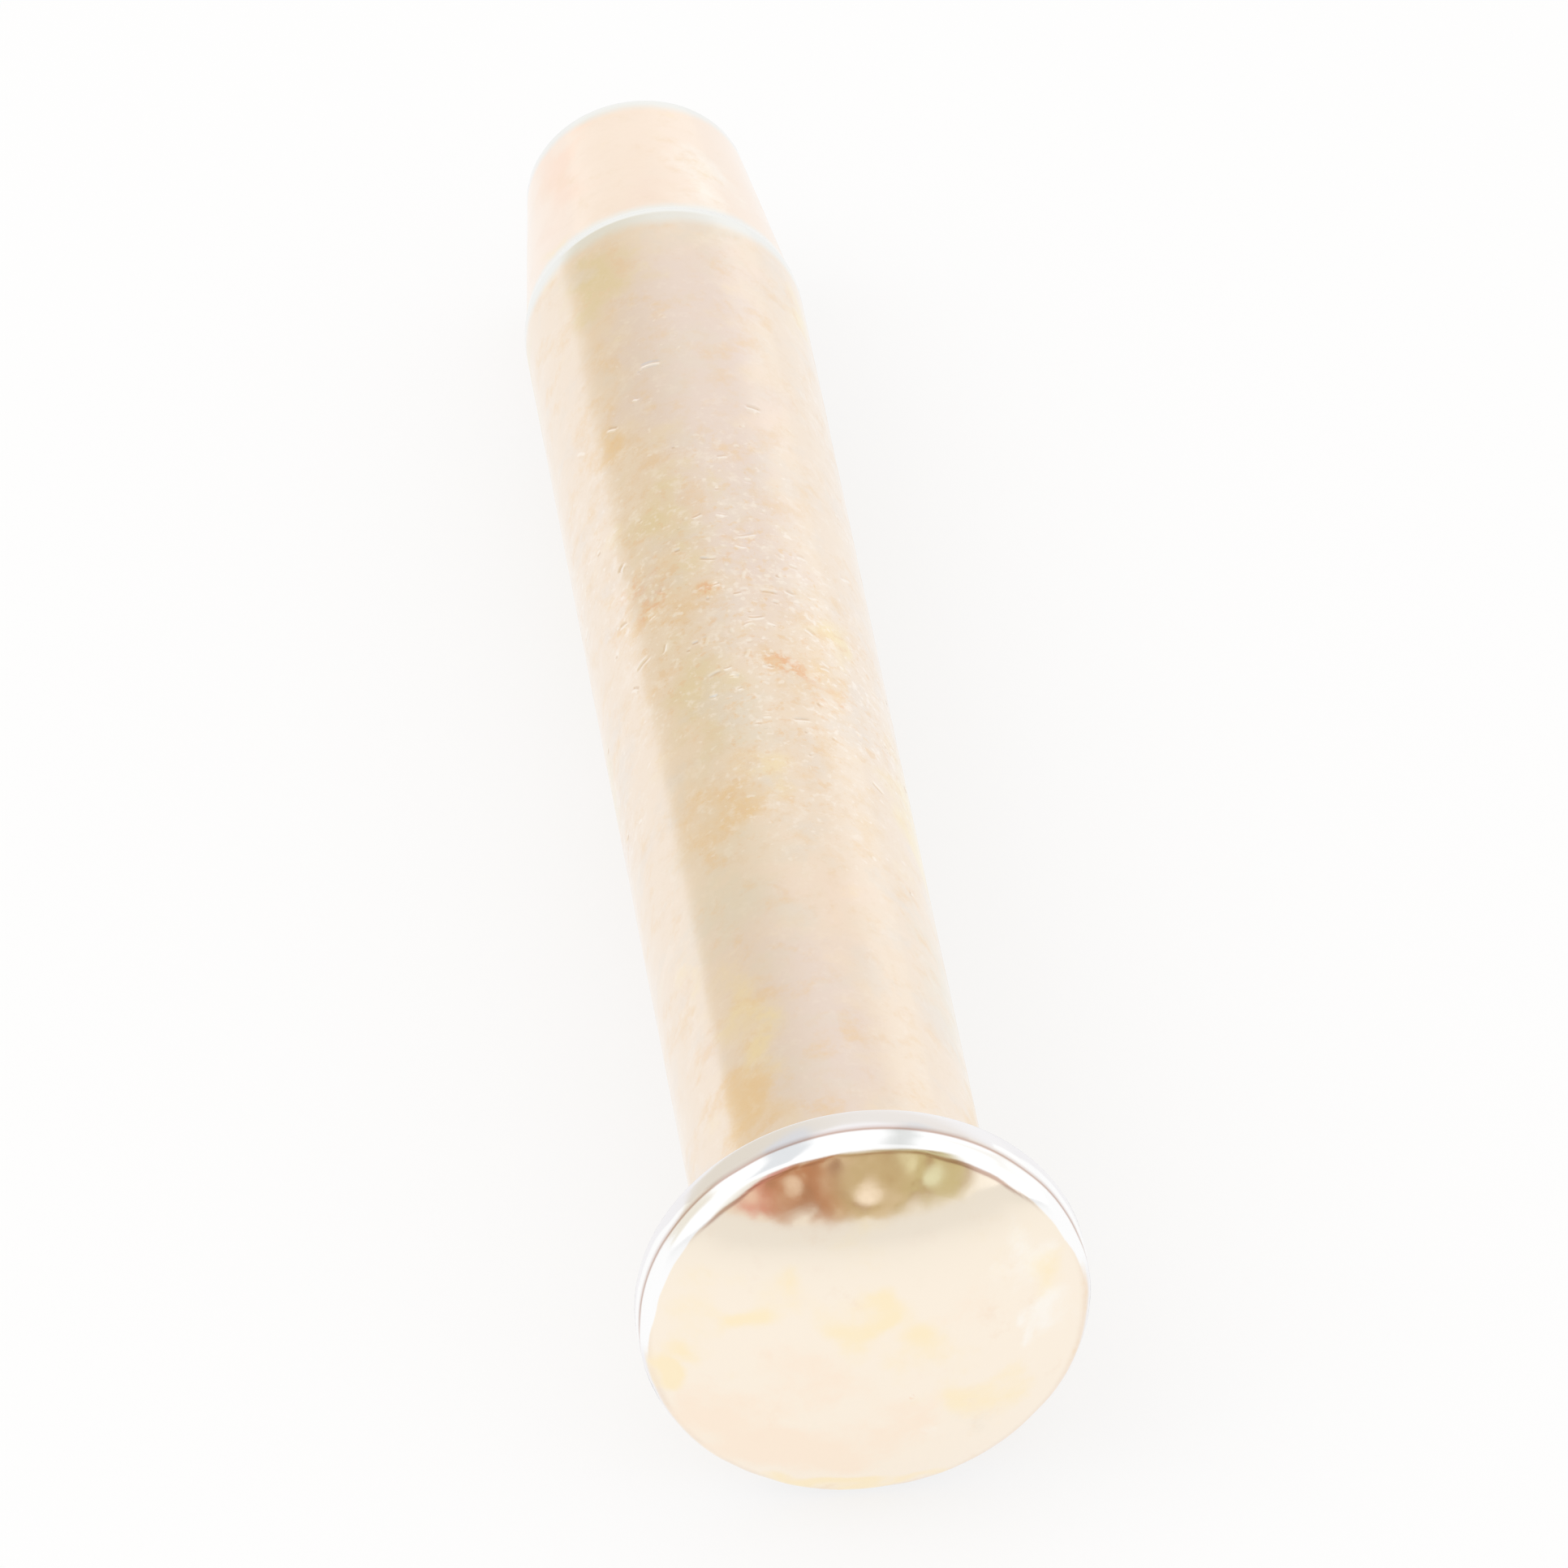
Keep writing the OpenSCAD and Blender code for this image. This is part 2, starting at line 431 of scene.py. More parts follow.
def stain_places():
    """(kind, middle, half length, half width, strength) of every stain, in mm."""
    made = [(k, on_shank(x, y), a, b, s) for k, x, y, a, b, s in STAINS]
    made += [(k, on_crown(x, y), a, b, s) for k, x, y, a, b, s in CROWN_STAINS]
    rng = random.Random(21)
    kinds = ("olive", "orange", "yellow", "lilac", "pink", "grey", "olive", "orange", "rust")
    for _ in range(SEEDED_STAINS):
        angle = math.radians(rng.uniform(86, 300))
        along = rng.uniform(0.5, SHANK_LEN)
        kind = rng.choice(kinds)
        small = 0.35 if kind == "rust" else 1.0
        middle = (SEAT + AXIS * along
                  + (math.cos(angle) * UP + math.sin(angle) * SIDE) * SHANK_R)
        made.append((kind, middle, small * rng.uniform(1.0, 4.0), small * rng.uniform(0.6, 1.7),
                     rng.uniform(0.4, 0.85)))
    return made


def warped(p):
    """Points p moved a little at random, which makes the stains' outlines uneven."""
    moves = [waves(p, (1.1, 3.0), WARP, 24, seed) for seed in (11, 12, 13)]
    return p + np.stack(moves, axis=1)


def stain_weights(p):
    """One weight per kind of stain for points p."""
    p = warped(p)
    weights = {kind: np.zeros(len(p)) for kind in KINDS}
    for kind, middle, length, width, strength in stain_places():
        d = p - middle
        along = d @ AXIS
        on_head = (middle - SEAT) @ AXIS < 0
        if on_head:
            rise = d @ UP
            cross = d @ SIDE
            reach = np.exp(-(rise / length) ** 2 - (cross / width) ** 2) * (np.abs(along) < 1.5)
        else:
            cross = np.sqrt(np.maximum((d * d).sum(1) - along ** 2, 0))
            reach = np.exp(-(along / length) ** 2 - (cross / width) ** 2)
        weights[kind] += strength * reach
    return {kind: np.clip(w, 0, 1.4) for kind, w in weights.items()}


# ---------------------------------------------------------------- the head's rim and the rings
RUB_MIDDLE = 8                # degrees from UP; the rim is rubbed bright about here
RUB_WIDTH = 0.43              # mm, how far in from the head's edge at its widest
ROLL_DEPTH = 0.075            # mm, how far the rubbed rim is rolled down
# height in mm, turns round the head and start in radians of the waves in the rub's inner edge
RUB_RIPPLE = ((0.018, 9, 1.0), (0.014, 17, 2.1), (0.010, 31, 0.4))


def rub_edge(angle):
    """The inner radius of the rubbed rim, and how strong the rub is, round the head."""
    off = np.abs(turned_of(angle) - RUB_MIDDLE)
    ripple = sum(size * np.sin(angle * turns + start) for size, turns, start in RUB_RIPPLE)
    width = RUB_WIDTH * (1 - 0.55 * step_of(off, 58, 98)) + ripple
    return HEAD_R - width, 1 - step_of(off, 76, 100)


def roll_of(rows, angle):
    """How far the rubbed rim is rolled over, from 0 at its inner edge to 1 at the head's side."""
    radius, along = rows[:, 0], rows[:, 1]
    inner, rubbed = rub_edge(angle)
    across = np.clip((radius - inner + 0.04) / (HEAD_R - inner), 0, 1)
    return across ** 1.6 * rubbed * step_of(-along, WALL_H - 0.30, WALL_H + 0.25)


def wear_of(rows, angle):
    """How far the rim's plating is rubbed to bright metal."""
    radius, along = rows[:, 0], rows[:, 1]
    inner, rubbed = rub_edge(angle)
    rim = step_of(radius, inner - 0.08, inner + 0.06)
    off = np.abs(turned_of(angle) - RUB_MIDDLE)
    low = WALL_H + 0.05 - 0.42 * step_of(off, 26, 56)     # it reaches down the wall at both sides
    return rim * step_of(-along, low, low + 0.08) * (0.04 + 1.06 * rubbed)


def line_of(rows, angle):
    """The thin brown lines on both sides of the rub."""
    radius, along = rows[:, 0], rows[:, 1]
    inner, rubbed = rub_edge(angle)
    outer = bump_of(along, -WALL_H - 0.04, 0.055) * step_of(radius, HEAD_R - 0.12, HEAD_R - 0.05)
    turned = turned_of(angle)
    sides = 0.35 + 0.65 * bump_of(turned, -31, 15) + 0.55 * bump_of(turned, 41, 10)
    sides = sides * (1 - step_of(np.abs(turned), 46, 66))
    edge = bump_of(radius, inner - 0.05, 0.055) * (along < -WALL_H - 0.2)
    return rubbed * (0.74 * outer + edge * sides)


def neck_of(rows, angle):
    """The gold at the neck, fainter towards the picture's left."""
    radius, along = rows[:, 0], rows[:, 1]
    neck = bump_of(along, 0.5, 0.7) * (radius < SHANK_R + NECK_R)
    return neck * (0.8 - 0.5 * step_of(turned_of(angle), 12, 36))


def ring_of(rows):
    """The greyer, softly rubbed rings at the shoulder and round the end."""
    radius, along = rows[:, 0], rows[:, 1]
    shoulder = bump_of(along, SHANK_LEN + 0.10, 0.55) * (radius > 3.5)
    end = bump_of(along, END_Y - 0.22, 0.44) * step_of(radius, 2.5, 3.0)
    return shoulder + 0.9 * end


def dull_of(rows):
    """The grey side wall of the head."""
    radius, along = rows[:, 0], rows[:, 1]
    return step_of(radius, HEAD_R - 0.16, HEAD_R - 0.04) * step_of(-along, -0.05, 0.02)


# ---------------------------------------------------------------- the mesh
SKIN = 0.016                  # the relief lies about this far below the true surface
# wave lengths in mm, height, number of waves and seed
UNEVEN = ((3.0, 8.0), 0.006, 24, 3)       # the forging's unevenness
RIPPLES = ((0.9, 2.0), 1.0, 30, 4)        # finer, stronger where small marks gather
DENTS = ((1.0, 3.0), 1.0, 30, 5)          # in the head's rim
FACETS = ((1.3, 3.2), 1.0, 30, 6)         # on the outer part of the crown
RIPPLE_HEIGHT = 0.0008
RIPPLE_GATHERED = 0.0012
DENT_DEPTH = 0.030
FACET_DEPTH = 0.009


def marked_cells(fine, ring_count, nicks):
    """Which cells of the lattice a nick touches; those are split into finer ones."""
    ri = np.arange(ring_count)
    ci = np.arange(COLUMNS)
    centre_rows = fine[(ri * SPLIT_ALONG + SPLIT_ALONG // 2)][:, None, :]
    centre_angle = (ci + 0.5)[None, :] * 2 * math.pi / COLUMNS
    shape = (ring_count, COLUMNS)
    centres, _ = place(np.broadcast_to(centre_rows, shape + (4,)),
                       np.broadcast_to(centre_angle, shape))
    marked = np.zeros(shape, bool)
    for middle, run, out, half, _depth in nicks:
        d = centres - middle
        cross = np.cross(out, run)
        marked |= ((np.abs(d @ run) < half * NICK_REACH + 0.09)
                   & (np.abs(d @ cross) < NICK_W * 2.6 + 0.11) & (np.abs(d @ out) < 0.6))
    marked[:2] = False
    marked[-2:] = False
    return marked


def lattice(ring_count, marked):
    """The revolved lattice: a (fine row, fine column) pair for every vertex, and the faces."""
    fine_round = COLUMNS * SPLIT_ROUND
    index = {}
    keys = []

    def vertex(i, j):
        key = (i, 0 if i in (0, ring_count * SPLIT_ALONG) else j % fine_round)
        if key not in index:
            index[key] = len(keys)
            keys.append(key)
        return index[key]

    faces = []
    for i in range(ring_count):
        i0, i1 = i * SPLIT_ALONG, (i + 1) * SPLIT_ALONG
        for j in range(COLUMNS):
            j0, j1 = j * SPLIT_ROUND, (j + 1) * SPLIT_ROUND
            if marked[i, j]:
                for a in range(i0, i1):
                    for b in range(j0, j1):
                        faces.append((vertex(a, b), vertex(a + 1, b),
                                      vertex(a + 1, b + 1), vertex(a, b + 1)))
                continue
            # a plain cell takes in the finer vertices of the split cells beside it
            loop = []
            along = range(i0, i1) if marked[i, j - 1] else (i0,)
            loop += [(a, j0) for a in along]
            split = i + 1 < ring_count and marked[i + 1, j]
            loop += [(i1, b) for b in (range(j0, j1) if split else (j0,))]
            along = range(i1, i0, -1) if marked[i, (j + 1) % COLUMNS] else (i1,)
            loop += [(a, j1) for a in along]
            split = i > 0 and marked[i - 1, j]
            loop += [(i0, b) for b in (range(j1, j0, -1) if split else (j1,))]
            face = []
            for a, b in loop:
                v = vertex(a, b)
                if v not in face:
                    face.append(v)
            faces.append(tuple(face))
    return np.array(keys), faces


def relief(p, rows, angle, cluster, nicks):
    """The surface's height at points p in mm, and how far they are in a groove or on a lip, which
    set the nicks' dirt and painted shade and their rub and painted highlight.
    """
    radius, along = rows[:, 0], rows[:, 1]
    height = -SKIN + waves(p, *UNEVEN)
    height = height + waves(p, *RIPPLES) * (RIPPLE_HEIGHT + RIPPLE_GATHERED * cluster)
    rim_row = bump_of(radius, HEAD_R - 0.2, 0.35) * (along < -0.3)
    height = height - rim_row * DENT_DEPTH * np.maximum(waves(p, *DENTS), 0)
    outer = step_of(radius, HEAD_R - 2.4, HEAD_R - 0.9) * (along < -WALL_H - 0.1)
    height = height - outer * FACET_DEPTH * (1 + waves(p, *FACETS))
    height = height - ROLL_DEPTH * roll_of(rows, angle)

    groove_dirt_and_shade, lip_rub_and_highlight = np.zeros(len(p)), np.zeros(len(p))
    for k, nick in enumerate(nicks):
        middle, _run, _out, half, depth = nick
        near = np.abs(p - middle).max(1) < half * 1.2 + 0.4
        bend = ((k * 37) % 9 - 4) / 4                 # from -1 to 1, another for every nick
        # how much of the groove's dirt and painted shade this nick takes
        brown = 0.25 + 0.75 * ((k * 29) % 11) / 10    # from 0.25 to 1
        groove, lip = nick_shape(p[near], nick, bend)
        height[near] += depth * (lip - groove)
        groove_dirt_and_shade[near] = np.maximum(groove_dirt_and_shade[near], groove * brown)
        lip_rub_and_highlight[near] = np.maximum(lip_rub_and_highlight[near], lip)
    return height, groove_dirt_and_shade, lip_rub_and_highlight


def looks_of(p, rows, angle, cluster):
    """What the material reads at points p, by name, apart from the nicks."""
    radius, along = rows[:, 0], rows[:, 1]
    turned = turned_of(angle)
    looks = stain_weights(p)
    looks["orange"] = looks["orange"] + neck_of(rows, angle)
    looks["line"] = line_of(rows, angle)
    looks["wear"] = wear_of(rows, angle)
    looks["ring"] = ring_of(rows)
    looks["dull"] = dull_of(rows)
    looks["speck"] = cluster + 0.10 * (along > 0) * (along < SHANK_LEN)
    looks["point"] = step_of(along, SHANK_LEN, SHANK_LEN + 0.6)
    looks["face"] = step_of(-along, WALL_H + RIM_R * 0.75, WALL_H + RIM_R * 0.98)
    # painted shade: the crown darker and browner towards its top
    looks["high"] = looks["face"] * step_of(radius * np.cos(angle), 0.5, 5.0)
    # painted shade in the rim's reflection: the rubbed band darker at two angles round the head
    looks["scuff"] = 0.10 * bump_of(turned, 22, 8) + 0.7 * bump_of(turned, -9, 4)
    return looks


def rivet_mesh():
    """The rivet's surface as one closed mesh, with the attributes that the material reads."""
    parts = profile()
    fine = rows_of(parts)
    ring_count = sum(steps for steps, _ in parts)
    nicks = pictured_nicks() + seeded_nicks()
    keys, faces = lattice(ring_count, marked_cells(fine, ring_count, nicks))
    rows = fine[keys[:, 0]]
    angle = keys[:, 1] * 2 * math.pi / (COLUMNS * SPLIT_ROUND)
    p, n = place(rows, angle)
    cluster = cluster_of(rows, angle)
    height, groove_dirt_and_shade, lip_rub_and_highlight = relief(p, rows, angle, cluster, nicks)
    p = p + n * height[:, None]

    mesh = bpy.data.meshes.new("rivet_surface")
    mesh.from_pydata((p * MM).tolist(), [], faces)
    mesh.shade_smooth()
    looks = looks_of(p, rows, angle, cluster)
    looks.update(groove=groove_dirt_and_shade, lip=lip_rub_and_highlight)
    for name, values in looks.items():
        layer = mesh.attributes.new(name, "FLOAT", "POINT")
        layer.data.foreach_set("value", values.astype(np.float32))
    return mesh


# ---------------------------------------------------------------- node helpers
class Graph:
    """Adds nodes to a node tree and links them."""

    def __init__(self, tree):
        self.tree = tree
        tree.nodes.clear()

    def add(self, kind, values=(), **props):
        node = self.tree.nodes.new(kind)
        for key, value in props.items():
            setattr(node, key, value)
        for key, value in dict(values).items():
            if isinstance(value, bpy.types.NodeSocket):
                self.tree.links.new(value, node.inputs[key])
            else:
                node.inputs[key].default_value = value
        return node

    def math(self, operation, a, b=0.0, clamp=False):
        return self.add("ShaderNodeMath", {0: a, 1: b}, operation=operation,
                        use_clamp=clamp).outputs[0]

    def dot(self, vector, direction):
        return self.add("ShaderNodeVectorMath", {0: vector, 1: tuple(direction)},
                        operation="DOT_PRODUCT").outputs["Value"]

    def stretch(self, vector, scale):
        return self.add("ShaderNodeVectorMath", {0: vector, 1: scale},
                        operation="MULTIPLY").outputs[0]

    def noise(self, vector, scale, detail=3.0, roughness=0.55, distortion=0.0, kind="FBM"):
        return self.add("ShaderNodeTexNoise",
                        {"Vector": vector, "Scale": scale, "Detail": detail,
                         "Roughness": roughness, "Distortion": distortion},
                        noise_type=kind).outputs["Fac"]

    def ramp(self, value, low, high, out_low=0.0, out_high=1.0, smooth=True):
        return self.add("ShaderNodeMapRange",
                        {"Value": value, "From Min": low, "From Max": high,
                         "To Min": out_low, "To Max": out_high},
                        interpolation_type="SMOOTHSTEP" if smooth else "LINEAR").outputs[0]

    def mix(self, amount, a, b):
        node = self.add("ShaderNodeMix", {"Factor": amount}, data_type="RGBA")
        for slot, value in ((6, a), (7, b)):
            if isinstance(value, bpy.types.NodeSocket):
                self.tree.links.new(value, node.inputs[slot])
            else:
                node.inputs[slot].default_value = tuple(value) + (1.0,)
        return node.outputs[2]

    def attribute(self, name):
        return self.add("ShaderNodeAttribute", attribute_name=name).outputs["Fac"]


# ---------------------------------------------------------------- plated steel
BASE = (0.915, 0.785, 0.655)
# every kind of stain, in the order in which they lie over each other
TINTS = {
    "pink": (0.945, 0.785, 0.680),
    "lilac": (0.875, 0.755, 0.690),
    "grey": (0.850, 0.780, 0.660),
    "olive": (0.860, 0.740, 0.510),
    "yellow": (0.948, 0.812, 0.555),
    "orange": (0.900, 0.690, 0.450),
    "rust": (0.885, 0.565, 0.360),
    "smudge": (0.985, 0.930, 0.850),
    "gold": (0.992, 0.850, 0.600),
    "blush": (0.983, 0.835, 0.685),
    "rosy": (0.985, 0.775, 0.640),
}
FACE_CREAM = (0.975, 0.872, 0.742)
# painted shade towards the top of the crown
FACE_TOP_SHADE = (0.915, 0.820, 0.660)
POINT_PINK = (0.968, 0.825, 0.710)
BARE = (0.985, 0.985, 0.985)
# painted shade for the rubbed rim's reflection
RIM_REFLECTION_SHADE = (0.790, 0.790, 0.785)
RING = (0.872, 0.874, 0.848)
# dirt and painted shade in the nicks' grooves
GROOVE_DIRT_AND_SHADE = (0.700, 0.520, 0.370)
LINE = (0.540, 0.360, 0.290)
WALL = (0.884, 0.868, 0.882)
# rubbed metal and painted highlight on the nicks' lips
LIP_RUB_AND_HIGHLIGHT = (0.990, 0.930, 0.850)
AMBER = (0.890, 0.660, 0.410)
TAN = (0.865, 0.700, 0.530)
ASH = (0.860, 0.775, 0.695)
FLECK = (0.880, 0.600, 0.370)
SPOT = (0.885, 0.680, 0.480)
PALE = (0.985, 0.905, 0.820)

# gate, noise, where it starts and is full, most of it, tint
MOTTLING = (
    ("body", "cloud", 0.50, 0.72, 0.50, AMBER),
    ("body", "blot", 0.50, 0.30, 0.60, ASH),
    ("patchy", "mist", 0.53, 0.70, 0.45, PALE),
    ("patchy", "mist", 0.47, 0.32, 0.48, TAN),
    ("gathered", "fine", 0.44, 0.30, 0.75, SPOT),
    ("gathered", "fine", 0.57, 0.72, 0.75, PALE),
)
# attribute, where it starts and is full, most of it, tint
MARKS = (
    ("line", 0.05, 0.75, 0.85, LINE),
    # the grooves' brown is dirt and painted shade; the lips' pale tint is rubbed metal and painted
    # highlight
    ("groove", 0.15, 0.95, 0.55, GROOVE_DIRT_AND_SHADE),
    ("lip", 0.12, 0.50, 0.55, LIP_RUB_AND_HIGHLIGHT),
)
# how much more where small marks gather, where it starts and is full, most of it, tint
FLECKS = (0.08, 0.68, 0.86, 0.50, FLECK)
PALE_SPECKS = (0.07, 0.70, 0.82, 0.60, PALE)
# the noise fields: cells per mm, detail, roughness
NOISES = {
    "blot": (0.55, 4.0, 0.62),
    "cloud": (0.85, 5.0, 0.66),
    "fleck": (2.6, 3.0, 0.6),
    "mist": (1.6, 3.0, 0.7),
    "grain": (4.0, 1.0, 0.5),
    "fine": (2.7, 3.0, 0.62),
}
FLECK_STRETCH = (1.2, 1.0, 1.0)           # flecks are a little shorter along the rivet
STAIN_SPREAD = 1.3            # how much noise there is in a stain's strength
RUB_SPREAD = 0.5              # and in that of the rub and the rings
TOP_SHADE_SHARE = 0.35             # how far the top of the crown takes its painted shade
ROUGH = (0.13, 0.19)          # least and most roughness
FACE_SMOOTHER = -0.07         # what the crown adds to that
BUMP_HEIGHT = 0.0014          # mm, of the finest relief
FACE_BUMP = 0.35              # share of it on the crown


def noises(g):
    """The noise fields of the plating, by name."""
    where = g.add("ShaderNodeTexCoord").outputs["Object"]
    mm = g.stretch(where, (1 / MM,) * 3)
    stretched = g.stretch(where, tuple(s / MM for s in FLECK_STRETCH))
    return {name: g.noise(stretched if name == "fleck" else mm, *values)
            for name, values in NOISES.items()}


def noisy(g, level, field, spread):
    """A level made uneven by a noise field."""
    return g.math("ADD", level, g.math("MULTIPLY", g.math("SUBTRACT", field, 0.5), spread))


def stained(g, colour, field):
    """The colour with every kind of stain on it; neighbours in TINTS get different outlines."""
    for k, (kind, tint) in enumerate(TINTS.items()):
        level = g.attribute(kind)
        if kind == "rust":
            level = g.math("MULTIPLY", level, g.ramp(field["fine"], 0.62, 0.36, 0.15, 1.35))
        else:
            noise = field["cloud" if k % 2 else "blot"]
            level = noisy(g, level, noise, STAIN_SPREAD if k % 4 < 2 else -STAIN_SPREAD)
        colour = g.mix(g.ramp(level, 0.12, 0.86), colour, tint)
    return colour


def mottled(g, colour, field, speck):
    """The colour with the shank's patches of amber, ash, tan and pale."""
    body = g.math("SUBTRACT", 1.0, g.attribute("face"))
    body = g.math("SUBTRACT", body, g.math("MULTIPLY", g.attribute("point"), 0.8))
    gates = {
        "body": body,
        "patchy": g.math("MULTIPLY", body, g.ramp(speck, 0.0, 0.7, 0.35, 1.0)),
        "gathered": g.math("MULTIPLY", body, g.ramp(speck, 0.10, 0.90)),
    }
    for gate, noise, low, high, most, tint in MOTTLING:
        amount = g.math("MULTIPLY", gates[gate], g.ramp(field[noise], low, high, 0.0, most))
        colour = g.mix(amount, colour, tint)
    return colour


def scattered(g, colour, noise, speck, gather, low, high, most, tint):
    """The colour with specks where the noise is high, more of them where small marks gather."""
    thick = g.math("ADD", noise, g.math("MULTIPLY", speck, gather))
    amount = g.math("MULTIPLY", g.ramp(thick, low, high, 0.0, most), g.ramp(speck, 0.02, 0.40))
    return g.mix(amount, colour, tint)


def plated_steel():
    """Yellow chromated zinc plating, rubbed to bare metal at the head's rim."""
    material = bpy.data.materials.new("plated_steel_look")
    material.use_nodes = True
    g = Graph(material.node_tree)
    field = noises(g)
    face = g.attribute("face")
    speck = g.attribute("speck")

    colour = g.mix(face, BASE, FACE_CREAM)
    # painted shade, darker towards the top of the crown
    colour = g.mix(g.math("MULTIPLY", g.attribute("high"), TOP_SHADE_SHARE), colour, FACE_TOP_SHADE)
    colour = g.mix(g.attribute("point"), colour, POINT_PINK)
    colour = stained(g, colour, field)
    colour = mottled(g, colour, field, speck)
    colour = scattered(g, colour, field["fleck"], speck, *FLECKS)
    colour = scattered(g, colour, g.math("SUBTRACT", 1.0, field["grain"]), speck, *PALE_SPECKS)
    colour = g.mix(g.attribute("dull"), colour, WALL)

    rub = noisy(g, g.attribute("wear"), field["cloud"], RUB_SPREAD)
    # bare metal of the rub, with painted shade in its reflection at two angles
    metal = g.mix(g.attribute("scuff"), BARE, RIM_REFLECTION_SHADE)
    colour = g.mix(g.ramp(rub, 0.25, 0.75), colour, metal)
    soft = noisy(g, g.attribute("ring"), field["cloud"], RUB_SPREAD)
    colour = g.mix(g.ramp(soft, 0.12, 0.85), colour, RING)
    for name, low, high, most, tint in MARKS:
        colour = g.mix(g.ramp(g.attribute(name), low, high, 0.0, most), colour, tint)

    rough = g.ramp(field["cloud"], 0.3, 0.7, *ROUGH)
    rough = g.math("ADD", rough, g.math("MULTIPLY", face, FACE_SMOOTHER))
    fine_relief = g.math("MULTIPLY", field["fine"], g.ramp(face, 0.0, 1.0, 1.0, FACE_BUMP))
    bump = g.add("ShaderNodeBump",
                 {"Strength": 1.0, "Distance": BUMP_HEIGHT * MM, "Height": fine_relief})
    shader = g.add("ShaderNodeBsdfPrincipled",
                   {"Base Color": colour, "Metallic": 1.0, "Roughness": rough,
                    "Normal": bump.outputs[0]})
    out = g.add("ShaderNodeOutputMaterial")
    g.tree.links.new(shader.outputs[0], out.inputs["Surface"])
    return material


def rivet():
    """The one piece, in place of the node's plain looks."""
    obj = bpy.data.objects.new("rivet_body", rivet_mesh())
    bpy.context.scene.collection.objects.link(obj)
    obj.data.materials.append(plated_steel())
    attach(obj, "root")
    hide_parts("rivet")


# ---------------------------------------------------------------- floor and light
FLOOR_SIZE = 8.0              # metres
FLOOR_SHADE = 0.86
FLOOR_SHOWN = (1.0, 0.995, 0.990)
FLOOR_MIRRORED = 0.86         # how bright the floor in front is in reflections; 1 near the rivet
FLOOR_FADE = (0.040, 0.130)   # metres in front of the rivet between which it falls to that
GLOW_SHOWN = 0.70             # share of plain white in the floor; the rest takes the shadow
GLOW_MORE = 0.15              # more of it in reflections


def floor():
    """A plain pale floor that keeps the rivet's shadow."""
    half = FLOOR_SIZE / 2
    mesh = bpy.data.meshes.new("floor")
    mesh.from_pydata([(-half, -half, 0), (half, -half, 0), (half, half, 0), (-half, half, 0)],
                     [], [(0, 1, 2, 3)])
    obj = bpy.data.objects.new("floor", mesh)
    bpy.context.scene.collection.objects.link(obj)
    material = bpy.data.materials.new("floor")
    material.use_nodes = True
    g = Graph(material.node_tree)
    where = g.add("ShaderNodeTexCoord").outputs["Object"]
    path = g.add("ShaderNodeLightPath")
    glossy = path.outputs["Is Glossy Ray"]
    matt = g.add("ShaderNodeBsdfDiffuse", {"Color": (FLOOR_SHADE,) * 3 + (1,)})
    near = g.ramp(g.dot(where, -AWAY), *FLOOR_FADE, 1.0, FLOOR_MIRRORED)
    mirrored = g.add("ShaderNodeEmission", {"Color": (1, 1, 1, 1), "Strength": near})
    shown = g.add("ShaderNodeEmission", {"Color": FLOOR_SHOWN + (1,), "Strength": 1.0})
    glow = g.add("ShaderNodeMixShader", {0: glossy, 1: shown.outputs[0], 2: mirrored.outputs[0]})
    seen = g.math("MAXIMUM", path.outputs["Is Camera Ray"], glossy)
    share = g.math("ADD", g.math("MULTIPLY", glossy, GLOW_MORE), GLOW_SHOWN)
    both = g.add("ShaderNodeMixShader",
                 {0: g.math("MULTIPLY", seen, share), 1: matt.outputs[0], 2: glow.outputs[0]})
    out = g.add("ShaderNodeOutputMaterial")
    g.tree.links.new(both.outputs[0], out.inputs["Surface"])
    material.cycles.emission_sampling = "NONE"
    mesh.materials.append(material)


def toward(azimuth, elevation):
    """A direction in the room: azimuth in degrees to the left of straight away from the camera."""
    a, e = math.radians(azimuth), math.radians(elevation)
    return (AWAY * math.cos(a) + LEFT * math.sin(a)) * math.cos(e) + np.array([0, 0, math.sin(e)])


OVERHEAD = (1.08, 1.08, 1.08)
PLAIN_LIGHT = 1.06            # the world's level for everything but reflections and the backdrop
BACKDROP = (0.97, 0.97, 0.97)
SWEEP_LOW = (1.03, 1.03, 1.02)
SWEEP_HIGH = (0.955, 0.920, 0.865)
ROOM_RIGHT = (0.945, 0.915, 0.860)
ROOM_LEFT = (0.855, 0.800, 0.690)
MURK_SPREAD = 0.30            # how uneven the murk's edges are
MURK_NOISE = (9.0, 4.0, 0.65)             # scale, detail, roughness of its mottling
MURK_BROWN = (0.525, 0.265, 0.150)
# each further tone of the murk: what it follows, where it starts and is full, most of it, colour
MURK_TONES = (
    ("across", -0.02, -0.18, 1.00, (0.585, 0.465, 0.270)),
    ("across", -0.28, -0.42, 1.00, (0.62, 0.55, 0.31)),
    ("across", 0.13, 0.24, 1.00, (0.74, 0.35, 0.29)),
    ("mottle", 0.52, 0.66, 0.70, (0.76, 0.64, 0.47)),
    ("mottle", 0.50, 0.40, 0.65, (0.40, 0.22, 0.13)),
)
# azimuth and elevation in degrees, radius in degrees, colour of the small lights in the murk
SPOTS = (
    (-167, 7.5, 2.4, (1.02, 0.92, 0.80)), (175, 8, 1.8, (0.84, 0.66, 0.52)),
    (-152, 8, 2.6, (0.82, 0.84, 0.62)), (-158, 13, 1.6, (0.80, 0.76, 0.52)),
    (-173, 13, 1.5, (0.36, 0.20, 0.13)), (166, 5, 1.6, (0.90, 0.70, 0.58)),
)
# across the room, half width and colour of the gaps in the light overhead
GAPS = ((0.47, 0.15, (0.79, 0.81, 0.83)), (-0.36, 0.08, (0.86, 0.87, 0.86)))


